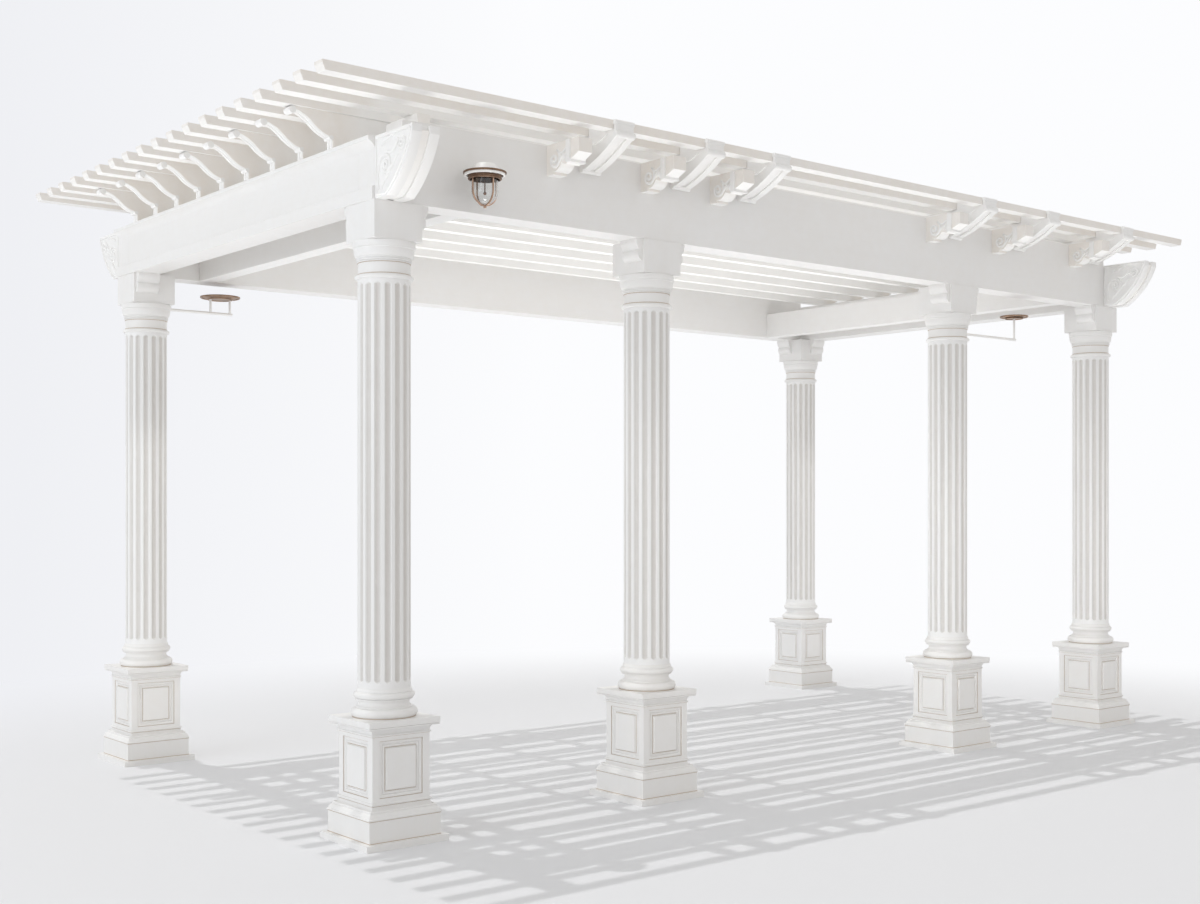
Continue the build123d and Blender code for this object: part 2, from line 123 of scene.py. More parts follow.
# Volutes: centre (reach, rise), outer and inner radius, start angle, turns, steps.
CONSOLE_LOWER_VOLUTE = ((0.078, 0.112), 0.050, 0.007, 195, -2.3, 60)
CONSOLE_UPPER_VOLUTE = ((0.196, 0.180), 0.029, 0.006, 200, 1.8, 40)
SCROLL_VOLUTE = ((0.0542, -0.068), 0.041, 0.008, 60, -1.7, 56)
STRAP_VOLUTE = ((0.044, -0.046), 0.036, 0.006, 20, -2.1, 50)

# Widths of the eased edges.
BLOCK_EASE = 0.0015
BEAM_EASE = 0.0025
ROOF_EASE = 0.002
BRACKET_EASE = 0.0012
CANOPY_EASE = 0.001

# Clear spaces that tell one solid of a group from the next.
TIMBER_GAP = 0.1
SLAT_GAP = 0.08

# Floor: middle of the lit part, and the distances between which it fades into the backdrop.
FLOOR_MIDDLE = (-0.2, -1.2, 0.0)
FADE_START = 2.8
FADE_END = 6.3
FLOOR_REACH = 60.0

# Light: height of the panels that shine up, tints, and the direction of the sun.
PANEL_HEIGHT = 0.92
PLAIN = (1.0, 1.0, 1.0)
COOL = (0.85, 0.925, 1.0)
WARM = (1.0, 0.985, 0.968)
SUN_AIM = (0.045, -0.27, -1.0)


class PaintSettings(bpy.types.PropertyGroup):
    """Colours of the painted timber and the metalwork."""

    column_white: bpy.props.FloatVectorProperty(
        name="Column white",
        description="Satin paint on pedestals, shafts, capitals and beams",
        subtype="COLOR",
        default=(0.865, 0.857, 0.846),
    )
    ornament_white: bpy.props.FloatVectorProperty(
        name="Ornament white",
        description="Cleaner white on consoles, straps, beads and volutes",
        subtype="COLOR",
        default=(0.905, 0.90, 0.89),
    )
    # Darker colour deep in the flutes: painted shade.
    flute_painted_shade: bpy.props.FloatVectorProperty(
        name="Flute shade",
        description="Warm shade of dust deep in the flutes",
        subtype="COLOR",
        default=(0.67, 0.645, 0.615),
    )
    # Colour of the thin lines of painted shade in the seams.
    seam: bpy.props.FloatVectorProperty(
        name="Seam dust",
        description="Brownish dust in the seams of pedestals and capitals",
        subtype="COLOR",
        default=(0.57, 0.48, 0.40),
    )
    roof_white: bpy.props.FloatVectorProperty(
        name="Roof white",
        description="Warmer matt paint on joists, battens, slats and scroll blocks",
        subtype="COLOR",
        default=(0.89, 0.86, 0.825),
    )
    # Lighter copy of the roof paint for undersides and inner sides: painted light from below.
    roof_lit_underside: bpy.props.FloatVectorProperty(
        name="Roof underside",
        description="Cleaner paint on the sheltered undersides of joists, battens and slats",
        subtype="COLOR",
        default=(0.94, 0.93, 0.91),
    )
    bronze: bpy.props.FloatVectorProperty(
        name="Bronze",
        description="Aged bronze of the lantern",
        subtype="COLOR",
        default=(0.27, 0.17, 0.115),
    )
    brown: bpy.props.FloatVectorProperty(
        name="Brown bronze",
        description="Paler brown bronze of the dish lamps",
        subtype="COLOR",
        default=(0.44, 0.30, 0.21),
    )
    copper: bpy.props.FloatVectorProperty(
        name="Copper",
        description="Worn copper of the lantern's hoops",
        subtype="COLOR",
        default=(0.66, 0.44, 0.32),
    )
    grain_depth: bpy.props.FloatProperty(
        name="Grain depth",
        description="Depth of the brush marks and grain that show through the paint",
        unit="LENGTH",
        default=0.0006,
    )


class CarvingSettings(bpy.types.PropertyGroup):
    """Sizes of the beads, volutes and leaves."""

    bead_width: bpy.props.FloatProperty(
        name="Tail bead width",
        description="Width of each of the two beads on a joist tail",
        unit="LENGTH",
        default=0.017,
    )
    bead_height: bpy.props.FloatProperty(
        name="Tail bead height",
        description="How far a tail bead stands out",
        unit="LENGTH",
        default=0.007,
    )
    relief: bpy.props.FloatProperty(
        name="Relief",
        description="Height of the carved scrolls and leaves",
        unit="LENGTH",
        default=0.012,
    )


class StageSettings(bpy.types.PropertyGroup):
    """Camera, floor and light."""

    camera_place: bpy.props.FloatVectorProperty(
        name="Camera place",
        description="Where the camera stands",
        subtype="TRANSLATION",
        default=(-5.389, -6.148, 1.296),
    )
    camera_turn: bpy.props.FloatProperty(
        name="Camera turn",
        description="Compass turn of the level view line from the depth axis",
        subtype="ANGLE",
        default=radians(-39.165),
    )
    lens: bpy.props.FloatProperty(
        name="Lens",
        description="Focal length on a 36 mm wide sensor, in millimetres",
        default=44.75,
    )
    rise: bpy.props.FloatProperty(
        name="Rise",
        description="Lens shift that keeps the uprights upright, as a share of the width",
        default=0.0422,
    )
    floor: bpy.props.FloatVectorProperty(
        name="Floor",
        description="Plain pale floor near the columns",
        subtype="COLOR",
        default=(0.80, 0.805, 0.82),
    )
    backdrop: bpy.props.FloatVectorProperty(
        name="Backdrop",
        description="White that the floor fades into",
        subtype="COLOR",
        default=(0.975, 0.98, 0.995),
    )
    backdrop_left: bpy.props.FloatVectorProperty(
        name="Backdrop left",
        description="Slightly greyer white at the left of the view",
        subtype="COLOR",
        default=(0.865, 0.873, 0.905),
    )
    sun_strength: bpy.props.FloatProperty(
        name="Sun",
        description="Strength of the sun-like key light",
        default=0.75,
    )
    sky_strength: bpy.props.FloatProperty(
        name="Sky",
        description="Strength of the even surrounding light",
        default=0.685,
    )
    left_power: bpy.props.FloatProperty(
        name="Left panel",
        description="Power of the soft panel on the left",
        default=1450.0,
    )
    low_power: bpy.props.FloatProperty(
        name="Low panel",
        description="Power of the soft panel under the roof that lights the undersides",
        default=20.5,
    )
    row_power: bpy.props.FloatProperty(
        name="Row panel",
        description="Power of the level soft panel that lights the columns away from the near corner",
        default=2.9,
    )
    rear_power: bpy.props.FloatProperty(
        name="Rear panel",
        description="Power of the level soft panel that lights the rear columns",
        default=4.2,
    )
    eave_power: bpy.props.FloatProperty(
        name="Eave panel",
        description="Power of the soft strip below the front eave; the one below the left end has half",
        default=2.2,
    )


class Shade:
    """A node socket; arithmetic on it adds Math nodes to its finish."""

    def __init__(self, finish, socket):
        self.finish = finish
        self.socket = socket

    def _math(self, operation, first, second):
        return self.finish.node("ShaderNodeMath", {"operation": operation}, {0: first, 1: second})

    def __add__(self, other):
        return self._math("ADD", self, other)

    def __sub__(self, other):
        return self._math("SUBTRACT", self, other)

    def __rsub__(self, other):
        return self._math("SUBTRACT", other, self)

    def __mul__(self, other):
        return self._math("MULTIPLY", self, other)

    __radd__ = __add__
    __rmul__ = __mul__

    def clamped(self):
        """Value held between 0 and 1."""
        return self.finish.node("ShaderNodeClamp", {}, {"Value": self})

    def size(self):
        """Value without its sign."""
        return self._math("ABSOLUTE", self, 0.0)

    def root(self):
        """Square root."""
        return self._math("SQRT", self, 0.0)


class Finish:
    """A material, or the sky, under construction."""

    def __init__(self, owner, shader="Principled BSDF"):
        owner.use_nodes = True
        self.owner = owner
        self.tree = owner.node_tree
        self.shader = self.tree.nodes[shader]

    def node(self, kind, settings, sockets, output=0):
        """Adds a node: its settings first, then the values or links of its sockets."""
        made = self.tree.nodes.new(kind)
        for key, value in settings.items():
            setattr(made, key, value)
        for key, value in sockets.items():
            self.feed(made.inputs[key], value)
        return Shade(self, made.outputs[output])

    def feed(self, socket, value):
        """Links a shade to a socket, or sets the socket's own value."""
        if isinstance(value, Shade):
            self.tree.links.new(value.socket, socket)
        elif socket.type == "RGBA" and len(value) == 3:
            socket.default_value = (*value, 1.0)
        else:
            socket.default_value = value

    def mix(self, factor, first, second):
        """Blend of two colours."""
        settings = {"data_type": "RGBA"}
        return self.node("ShaderNodeMix", settings, {0: factor, 6: first, 7: second}, 2)

    def vector(self, operation, first, second=(0.0, 0.0, 0.0), output=0):
        """Vector maths on positions and directions."""
        settings = {"operation": operation}
        return self.node("ShaderNodeVectorMath", settings, {0: first, 1: second}, output)

    def place(self):
        """Position on the object, in metres."""
        return self.node("ShaderNodeTexCoord", {}, {}, "Object")

    def part(self, vector, axis):
        """One coordinate of a position or direction."""
        return self.node("ShaderNodeSeparateXYZ", {}, {0: vector}, axis)

    def ramp(self, value, start, end, curve="LINEAR"):
        """Share that goes from 0 at start to 1 at end."""
        sockets = {"Value": value, "From Min": start, "From Max": end}
        return self.node("ShaderNodeMapRange", {"interpolation_type": curve}, sockets)

    def noise(self, vector, scale, detail=4.0, roughness=0.55):
        sockets = {"Vector": vector, "Scale": scale, "Detail": detail, "Roughness": roughness}
        return self.node("ShaderNodeTexNoise", {}, sockets)

    def bump(self, height, distance):
        return self.node("ShaderNodeBump", {}, {"Height": height, "Distance": distance, "Strength": 1.0})

    def set(self, **sockets):
        """Feeds the shader; underscores in a name stand for spaces."""
        for key, value in sockets.items():
            self.feed(self.shader.inputs[key.replace("_", " ")], value)
        return self.owner

    def blended(self, share, kind, colour, output):
        """Shows the shader, or by its share a plain glow of strength 1, at the output node."""
        white = self.node(kind, {}, {"Color": colour, "Strength": 1.0})
        own = Shade(self, self.shader.outputs[0])
        both = self.node("ShaderNodeMixShader", {}, {0: share, 1: own, 2: white})
        self.feed(self.tree.nodes[output].inputs["Surface"], both)
        return self.owner

    def seen(self):
        """1 where the camera, a reflection or glass looks, 0 for light."""
        camera = self.node("ShaderNodeLightPath", {}, {}, "Is Camera Ray")
        glossy = self.node("ShaderNodeLightPath", {}, {}, "Is Glossy Ray")
        through = self.node("ShaderNodeLightPath", {}, {}, "Is Transmission Ray")
        return (camera + glossy + through).clamped()

    def white(self, bearing, stage):
        """Backdrop white, a little greyer towards the left of the view."""
        turn = stage.camera_turn
        aside = self.vector("DOT_PRODUCT", bearing, (-cos(turn), -sin(turn), 0.0), 1)
        share = self.ramp(aside, 0.04, 0.36)
        return self.mix(share, tuple(stage.backdrop), tuple(stage.backdrop_left))


def toned(colour, share):
    """Colour with every channel scaled."""
    return tuple(min(1.0, channel * share) for channel in colour)


def brushwork(finish, grain):
    """Brush marks along the grain, and a fine even mottle."""
    brush = finish.noise(finish.vector("MULTIPLY", finish.place(), grain), 1.0, 6.0, 0.65)
    fine = finish.noise(finish.place(), 24.0, 5.0, 0.6)
    return brush, fine


def brushed(finish, base, brush, fine, depth, gloss=0.42):
    """Sets a paint's shader from its colour and its brush marks."""
    return finish.set(
        Base_Color=base,
        Roughness=fine * 0.18 + brush * 0.1 + (gloss - 0.14),
        Normal=finish.bump(brush * 0.7 + fine * 0.3, depth),
        IOR=1.46,
    )


def paint_finish(name, colour, grain, depth, warm=0.06, gloss=0.42, under=None):
    """Brushed paint on timber: soft tone changes, faint brush marks along the grain, dusty patches."""
    finish = Finish(bpy.data.materials.new(name))
    brush, fine = brushwork(finish, grain)
    broad = finish.noise(finish.place(), 1.3, 3.0)
    dust = (broad * 0.7 + fine * 0.5 - 0.42).clamped()
    yellowing = (0.7, 1.1, 1.7)
    warmer = tuple(channel * (1.0 - warm * share) for channel, share in zip(colour, yellowing))
    base = finish.mix((dust * 1.4).clamped(), colour, warmer)
    base = finish.mix((brush * 0.5 - 0.16).clamped(), base, toned(colour, 0.93))
    # Undersides and inner sides take the lighter roof colour: painted light from below.
    if under:
        base = finish.mix(underlit(finish), base, under)
    return brushed(finish, base, brush, fine, depth, gloss)


def underlit(finish):
    """Share of painted light from below: undersides, and the sides of timbers inside the beams."""
    low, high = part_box("front_beam")
    depth = abs(low.y)
    edge = 0.1
    facing = finish.node("ShaderNodeNewGeometry", {}, {}, "Normal")
    level = finish.part(facing, "Z")
    across = finish.part(finish.place(), "X").size()
    along = finish.part(finish.place(), "Y").size()
    inside_x = finish.ramp(across, high.x, high.x - edge)
    inside_y = finish.ramp(along, depth, depth - edge)
    sides = (inside_x * inside_y) * (1.0 - level).clamped()
    return ((level * -1.2).clamped() + sides).clamped()


def fluted_finish(name, colour, grain, depth, flutes):
    """Column paint with a warm painted shade deep in the flutes, by distance from the nearest axis."""
    finish = Finish(bpy.data.materials.new(name))
    across = finish.part(finish.place(), "X").size()
    across = (across - (OUTER_AXIS + INNER_AXIS) / 2).size() - (OUTER_AXIS - INNER_AXIS) / 2
    along = finish.part(finish.place(), "Y").size() - ROW_AXIS
    distance = (across * across + along * along).root()
    sunk = finish.ramp(distance, SHAFT_RADIUS - FLUTE_SHADE_START, SHAFT_RADIUS - FLUTE_SHADE_FULL)
    brush, fine = brushwork(finish, grain)
    base = finish.mix((brush * 0.5 - 0.16).clamped(), colour, toned(colour, 0.93))
    # Painted shade deep in the flutes.
    base = finish.mix((sunk * (fine * 0.4 + 0.75)).clamped(), base, flutes)
    return brushed(finish, base, brush, fine, depth)


def bronze_finish(name, colour):
    """Aged bronze with darker tarnish in patches and worn lighter spots."""
    finish = Finish(bpy.data.materials.new(name))
    patches = finish.noise(finish.place(), 38.0, 6.0, 0.62)
    specks = finish.noise(finish.place(), 260.0, 3.0)
    base = finish.mix((patches * 2.4 - 0.7).clamped(), toned(colour, 0.42), colour)
    base = finish.mix((specks * 3.0 - 1.75).clamped(), base, toned(colour, 1.9))
    return finish.set(
        Base_Color=base,
        Roughness=patches * 0.3 + 0.24,
        Normal=finish.bump(specks, 0.0002),
        Metallic=1.0,
    )


def glass_finish():
    """Clear glass with faint ripples."""
    finish = Finish(bpy.data.materials.new("clear_glass"))
    ripple = finish.noise(finish.place(), 32.0, 2.0)
    return finish.set(
        Base_Color=(0.96, 0.97, 0.97),
        Roughness=ripple * 0.05,
        Normal=finish.bump(ripple, 0.0004),
        Transmission_Weight=1.0,
        IOR=1.45,
    )


def floor_finish(stage):
    """Plain pale studio floor that fades into the white of the backdrop away from the object."""
    finish = Finish(bpy.data.materials.new("studio_floor"))
    colour = tuple(stage.floor)
    cloud = finish.noise(finish.place(), 0.6, 3.0)
    finish.set(Base_Color=finish.mix(cloud, colour, toned(colour, 0.985)), Roughness=0.9)
    away = finish.vector("LENGTH", finish.vector("SUBTRACT", finish.place(), FLOOR_MIDDLE), output=1)
    fade = finish.ramp(away, FADE_START, FADE_END, "SMOOTHSTEP")
    line = finish.vector("SUBTRACT", finish.place(), tuple(stage.camera_place))
    white = finish.white(finish.vector("NORMALIZE", line), stage)
    return finish.blended(fade * finish.seen(), "ShaderNodeEmission", white, "Material Output")


def sky_finish(stage):
    """Even surrounding light; the camera, reflections and glass see the white backdrop."""
    finish = Finish(bpy.data.worlds.new("studio_sky"), "Background")
    finish.set(Color=WARM, Strength=stage.sky_strength)
    white = finish.white(finish.node("ShaderNodeTexCoord", {}, {}, "Generated"), stage)
    return finish.blended(finish.seen(), "ShaderNodeBackground", white, "World Output")


MATERIALS = {}
CORNERS = ((-1, -1), (1, -1), (1, 1), (-1, 1))


def around(steps):
    """Directions (x, y) evenly round a circle."""
    return [(cos(tau * step / steps), sin(tau * step / steps)) for step in range(steps)]


def half_round(width, height):
    """Half-round section as (offset, lift), sunk a little into the face it stands on."""
    angles = [pi * step / 7 for step in range(8)]
    return [(cos(angle) * width / 2, sin(angle) * height - height * 0.1) for angle in angles]


def headings(path):
    """Points of a path, each with the direction of the path there."""
    path = [Vector(point) for point in path]
    found = []
    for number, point in enumerate(path):
        before = path[max(number - 1, 0)]
        after = path[min(number + 1, len(path) - 1)]
        found.append((point, (after - before).normalized()))
    return found


class Carving:
    """Gathers rings of points into one closed mesh piece."""

    def __init__(self):
        self.points = []
        self.faces = []

    def loft(self, rings, looped=False):
        """Skins closed rings of equal count; both ends are capped unless the rings form a loop."""
        start = len(self.points)
        count = len(rings[0])
        for ring in rings:
            self.points.extend(Vector(point) for point in ring)
        joins = len(rings) if looped else len(rings) - 1
        for join in range(joins):
            here = start + join * count
            there = start + (join + 1) % len(rings) * count
            for step in range(count):
                after = (step + 1) % count
                self.faces.append((here + step, here + after, there + after, there + step))
        if not looped:
            last = start + (len(rings) - 1) * count
            self.faces.append(tuple(reversed(range(start, start + count))))
            self.faces.append(tuple(range(last, last + count)))
        return self

    def turn(self, centre, outline, steps=64):
        """Turned piece about the upright through centre; outline is (radius, height) from below up."""
        centre = Vector(centre)
        rings = []
        for radius, height in outline:
            rings.append([centre + Vector((radius * x, radius * y, height)) for x, y in around(steps)])
        if (Vector(outline[0]) - Vector(outline[-1])).length < 1e-6:
            return self.loft(rings[:-1], looped=True)
        return self.loft(rings)

    def rod(self, start, end, radius, steps=20):
        """Round bar between two points."""
        start = Vector(start)
        end = Vector(end)
        along = (end - start).normalized()
        across = along.cross(UP).normalized()
        up = across.cross(along)
        rings = []
        for centre in (start, end):
            rings.append([centre + (across * x - up * y) * radius for x, y in around(steps)])
        return self.loft(rings)

    def bead(self, path, width, height, side=None, up=None, taper=None):
        """Half-round moulding along a path: across a fixed side direction, or standing on a face (up)."""
        steps = 7
        rings = []
        for number, (point, along) in enumerate(headings(path)):
            if up is None:
                across = Vector(side)
                out = along.cross(across).normalized()
            else:
                out = Vector(up)
                across = out.cross(along).normalized()
            share = taper(number / (len(path) - 1)) if taper else 1.0
            ring = []
            for step in range(steps + 1):
                angle = pi * step / steps
                lift = max(share, 0.35) * height * sin(angle) - height * 0.15
                ring.append(point + across * (cos(angle) * width * share / 2) + out * lift)
            rings.append(ring)
        return self.loft(rings)

    def cheek_bead(self, plane, facing, wall, outward, foot, points, width, height, taper=None):
        """Bead on an upright cheek square to the length; points are (reach from the wall, rise)."""
        path = [Vector((plane, wall + outward * out, foot + rise)) for out, rise in points]
        return self.bead(path, width, height, up=(facing, 0, 0), taper=taper)

    def framed(self, centre, across, half_width, half_height, width, height):
        """Mitred half-round moulding round a rectangle on an upright face."""
        out = across.cross(UP)
        rings = []
        for turn_x, turn_y in CORNERS:
            ring = []
            for spread, lift in half_round(width, height):
                corner = centre + across * (turn_x * (half_width + spread))
                ring.append(corner + UP * (turn_y * (half_height + spread)) + out * lift)
            rings.append(ring)
        return self.loft(rings, looped=True)

    def belt(self, centre, half, width, height):
        """Mitred half-round moulding round a square upright; width is its size up the upright."""
        rings = []
        for turn_x, turn_y in CORNERS:
            ring = []
            for rise, lift in half_round(width, height):
                reach = half + lift
                ring.append(centre + Vector((turn_x * reach, turn_y * reach, rise)))
            rings.append(ring)
        return self.loft(rings, looped=True)

    def ribbon(self, path, side, half, thickness):
        """Flat raised strip across a fixed side direction along a path."""
        side = Vector(side)
        rings = []
        for point, along in headings(path):
            out = along.cross(side).normalized()
            near = point - out * 0.001
            far = point + out * thickness
            rings.append([near - side * half, near + side * half, far + side * half, far - side * half])
        return self.loft(rings)

    def place(self, name, material, slot):
        """Makes the object, shades it and lets it ride on the frame."""
        mesh = bpy.data.meshes.new(name)
        mesh.from_pydata([tuple(point) for point in self.points], [], self.faces)
        mesh.validate()
        mesh.polygons.foreach_set("use_smooth", [True] * len(mesh.polygons))
        mesh.set_sharp_from_angle(angle=radians(38))
        piece = bpy.data.objects.new(name, mesh)
        bpy.context.scene.collection.objects.link(piece)
        piece.data.materials.append(MATERIALS[material])
        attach(piece, ROOT)
        return piece


def arc(centre, radius, start, end, steps):
    """Points (x, y) on a circle between two angles in degrees."""
    points = []
    for step in range(steps + 1):
        angle = radians(start + (end - start) * step / steps)
        points.append((centre[0] + radius * cos(angle), centre[1] + radius * sin(angle)))
    return points


def roll(centre, radius, steps):
    """Full circle (x, y), closed on itself, as the section of a rolled rim."""
    return arc(centre, radius, -180, 180, steps)


def spiral(centre, outer, inner, start, turns, steps):
    """Points (x, y) on a volute that winds in from outer to inner radius."""
    points = []
    for step in range(steps + 1):
        share = step / steps
        radius = outer * (inner / outer) ** share
        angle = radians(start) + tau * turns * share
        points.append((centre[0] + radius * cos(angle), centre[1] + radius * sin(angle)))
    return points


def shares(steps):
    """Even shares from 0 to 1."""
    return [step / steps for step in range(steps + 1)]


def leaf_width(share):
    """Leaf that swells early and narrows to its tip."""
    return 0.3 + 0.7 * sin(pi * min(1.0, share + 0.06))


def bud_width(share):
    """Bud, widest in its middle."""
    return 0.3 + 0.7 * sin(pi * share)


def vine_width(share):
    """Stem that thins towards its tip."""
    return 1.0 - 0.6 * share


def spans(node, axis, gap=TIMBER_GAP):
    """Extents (low, high) of a node's separate solids along one axis."""
    values = sorted(getattr(vertex.co, axis) for vertex in NODES[node].data.vertices)
    found = [[values[0], values[0]]]
    for value in values:
        if value - found[-1][1] > gap:
            found.append([value, value])
        found[-1][1] = value
    return found


def thinned(points, gap=0.0005):
    """Points with near repeats left out."""
    kept = []
    for point in points:
        if not kept or (point - kept[-1]).length > gap:
            kept.append(point)
    return kept


def dress(names, material, soft=0.0):
    """Gives CAD nodes a finish and, where asked, softly eased edges."""
    for name in names:
        node = NODES[name]
        node.data.materials.clear()
        node.data.materials.append(MATERIALS[material])
        if soft:
            weld = node.modifiers.new("joined", "WELD")
            weld.merge_threshold = 0.00002
            ease = node.modifiers.new("eased_edges", "BEVEL")
            ease.width = soft
            ease.segments = 2
            ease.limit_method = "ANGLE"
            ease.angle_limit = radians(32)
            ease.harden_normals = True


def dress_below(name, level, material):
    """Gives the faces of a CAD node below a level a second finish."""
    mesh = NODES[name].data
    mesh.materials.append(MATERIALS[material])
    for face in mesh.polygons:
        face.material_index = 1 if face.center.z < level else 0


class PERGOLA_OT_finishes(bpy.types.Operator):
    """Mix the paints, bronze and glass"""

    bl_idname = "pergola.finishes"
    bl_label = "Finishes"

    def execute(self, context):
        paint = context.scene.pergola_paint
        depth = paint.grain_depth
        white = tuple(paint.column_white)
        flutes = tuple(paint.flute_painted_shade)
        seam = tuple(paint.seam)
        ornament = tuple(paint.ornament_white)
        roof = tuple(paint.roof_white)
        under = tuple(paint.roof_lit_underside)
        MATERIALS["upright"] = paint_finish("upright_paint", white, UPRIGHT_GRAIN, depth)
        MATERIALS["fluted"] = fluted_finish("fluted_paint", white, UPRIGHT_GRAIN, depth, flutes)
        MATERIALS["lengthwise"] = paint_finish("lengthwise_paint", white, LENGTHWISE_GRAIN, depth)
        MATERIALS["crosswise"] = paint_finish("crosswise_paint", white, CROSSWISE_GRAIN, depth)
        MATERIALS["seam"] = paint_finish("seam_dust", seam, CARVED_GRAIN, depth * 0.5, 0.2, 0.7)
        MATERIALS["carved"] = paint_finish("carved_paint", ornament, CARVED_GRAIN, depth * 0.7)
        MATERIALS["roof"] = paint_finish("roof_paint", roof, ROOF_GRAIN, depth, 0.12, 0.55, under)
        MATERIALS["bronze"] = bronze_finish("aged_bronze", tuple(paint.bronze))
        MATERIALS["copper"] = bronze_finish("worn_copper", tuple(paint.copper))
        MATERIALS["brown"] = bronze_finish("brown_bronze", tuple(paint.brown))
        MATERIALS["glass"] = glass_finish()
        MATERIALS["floor"] = floor_finish(context.scene.pergola_stage)
        return {"FINISHED"}


class PERGOLA_OT_columns(bpy.types.Operator):
    """Paint pedestals and shafts, turn the bases and capitals, frame the panels"""

    bl_idname = "pergola.columns"
    bl_label = "Columns"

    def execute(self, context):
        dress(PEDESTALS, "upright")
        dress(SHAFTS, "fluted")
        dress(["impost_blocks"], "upright", BLOCK_EASE)
        self.turn_bases()
        self.turn_capitals()
        self.frame_panels()
        self.draw_seams()
        return {"FINISHED"}

    def turned(self, name, level, outline):
        """Turns one outline on the axis of every column."""
        carving = Carving()
        for axis in COLUMN_AXES:
            carving.turn((axis.x, axis.y, level), outline)
        return carving.place(name, "upright", "column_paint")

    def turn_bases(self):
        """Attic base: lower torus, scotia between fillets, upper torus and a short neck."""
        low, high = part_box("column_bases")
        height = high.z - low.z
        radius = high.x - OUTER_AXIS
        torus = height * 0.165
        fillet = radius - torus * 1.12
        ledge = radius * 0.855
        small = height * 0.115
        neck = radius * 0.83
        outline = [(0.001, 0.0)]
        outline += arc((radius - torus, torus), torus, -90, 90, 14)
        outline += [(fillet, torus * 2), (fillet, torus * 2 + height * 0.03)]
        outline += arc((fillet + 0.002, height * 0.49), small, -110, -250, 10)
        outline += [(ledge, height * 0.6), (ledge, height * 0.635)]
        outline += arc((radius * 0.915 - small, height * 0.635 + small), small, -90, 90, 12)
        outline += [(neck, height * 0.865), (neck, height * 0.92)]
        outline += [(neck * 0.985, height * 0.955), (neck * 0.965, height)]
        outline += [(0.001, height)]
        bases = self.turned("turned_bases", low.z, outline)
        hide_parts("column_bases")

    def turn_capitals(self):
        """Round capital: astragal, plain neck, two annulets, hollow echinus and a round abacus."""
        low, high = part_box("capitals")
        height = high.z - low.z
        abacus = high.x - OUTER_AXIS
        shaft = SHAFT_RADIUS
        bead = height * 0.062
        lip = height * 0.03
        bell = shaft * 1.04
        reach = abacus * 0.965 - bell
        outline = [(0.001, 0.0), (shaft, 0.0)]
        outline += arc((shaft + bead * 0.25, bead), bead, -90, 90, 12)
        outline += [(shaft * 1.005, bead * 2), (shaft * 0.99, bead * 2.6), (shaft * 0.99, height * 0.44)]
        outline += arc((shaft, height * 0.46), height * 0.02, -90, 90, 6)
        outline += arc((shaft * 1.02, height * 0.51), height * 0.026, -90, 90, 6)
        outline += [(bell, height * 0.545), (bell, height * 0.58)]
        for share in shares(10):
            angle = radians(90 * share)
            outline.append((bell + reach * sin(angle), height * (0.58 + 0.2 * (1 - cos(angle)))))
        outline += [(abacus * 0.965, height * 0.8), (abacus * 0.99, height * 0.82)]
        outline += arc((abacus - lip, height * 0.85), lip, -90, 0, 4)
        outline += arc((abacus - lip, height * 0.97), lip, 0, 90, 4)
        outline += [(0.001, height)]
        capitals = self.turned("turned_capitals", low.z, outline)
        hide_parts("capitals")

    def edge_pedestals(self, carving, belts, frames):
        """Runs belts round every pedestal and frames round its four panels."""
        low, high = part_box(PEDESTALS[0])
        height = high.z - low.z
        for axis in COLUMN_AXES:
            foot = Vector((axis.x, axis.y, low.z))
            for level, half, width, lift in belts:
                carving.belt(foot + UP * (height * level), half, width, lift)
            for out_x, out_y in ((1, 0), (0, 1), (-1, 0), (0, -1)):
                face = Vector((out_x, out_y, 0)) * (DIE_HALF - PANEL_SINK)
                across = Vector((-out_y, out_x, 0))
                for frame_sizes in frames:
                    carving.framed(foot + UP * (height * PANEL_LEVEL) + face, across, *frame_sizes)

    def frame_panels(self):
        """Raised mouldings of the pedestals."""
        panels = Carving()
        self.edge_pedestals(panels, PEDESTAL_BELTS, PANEL_FRAMES)
        panels.place("panel_mouldings", "upright", "column_paint")

    def draw_seams(self):
        """Fine brownish lines of painted shade in the seams of pedestals, column bases and capitals."""
        base_low, base_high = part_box("column_bases")
        base_radius = (base_high.x - OUTER_AXIS) * 0.93
        neck_low, neck_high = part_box("capitals")
        rings = [roll((base_radius, base_low.z + 0.0012), 0.0022, 8)]
        for level, reach in CAPITAL_SEAMS:
            height = neck_low.z + level * (neck_high.z - neck_low.z)
            rings.append(roll((SHAFT_RADIUS * reach, height), 0.0018, 8))
        seams = Carving()
        self.edge_pedestals(seams, SEAM_BELTS, SEAM_FRAMES)
        for axis in COLUMN_AXES:
            for ring in rings:
                seams.turn((axis.x, axis.y, 0), ring)
        seams.place("seam_lines", "seam", "column_paint")


class PERGOLA_OT_beams(bpy.types.Operator):
    """Paint the beams and their mouldings"""

    bl_idname = "pergola.beams"
    bl_label = "Beams"

    def execute(self, context):
        dress(LONG_BEAMS, "lengthwise", BEAM_EASE)
        dress(CROSS_BEAMS, "crosswise", BEAM_EASE)
        dress(MOULDINGS, "crosswise")
        return {"FINISHED"}


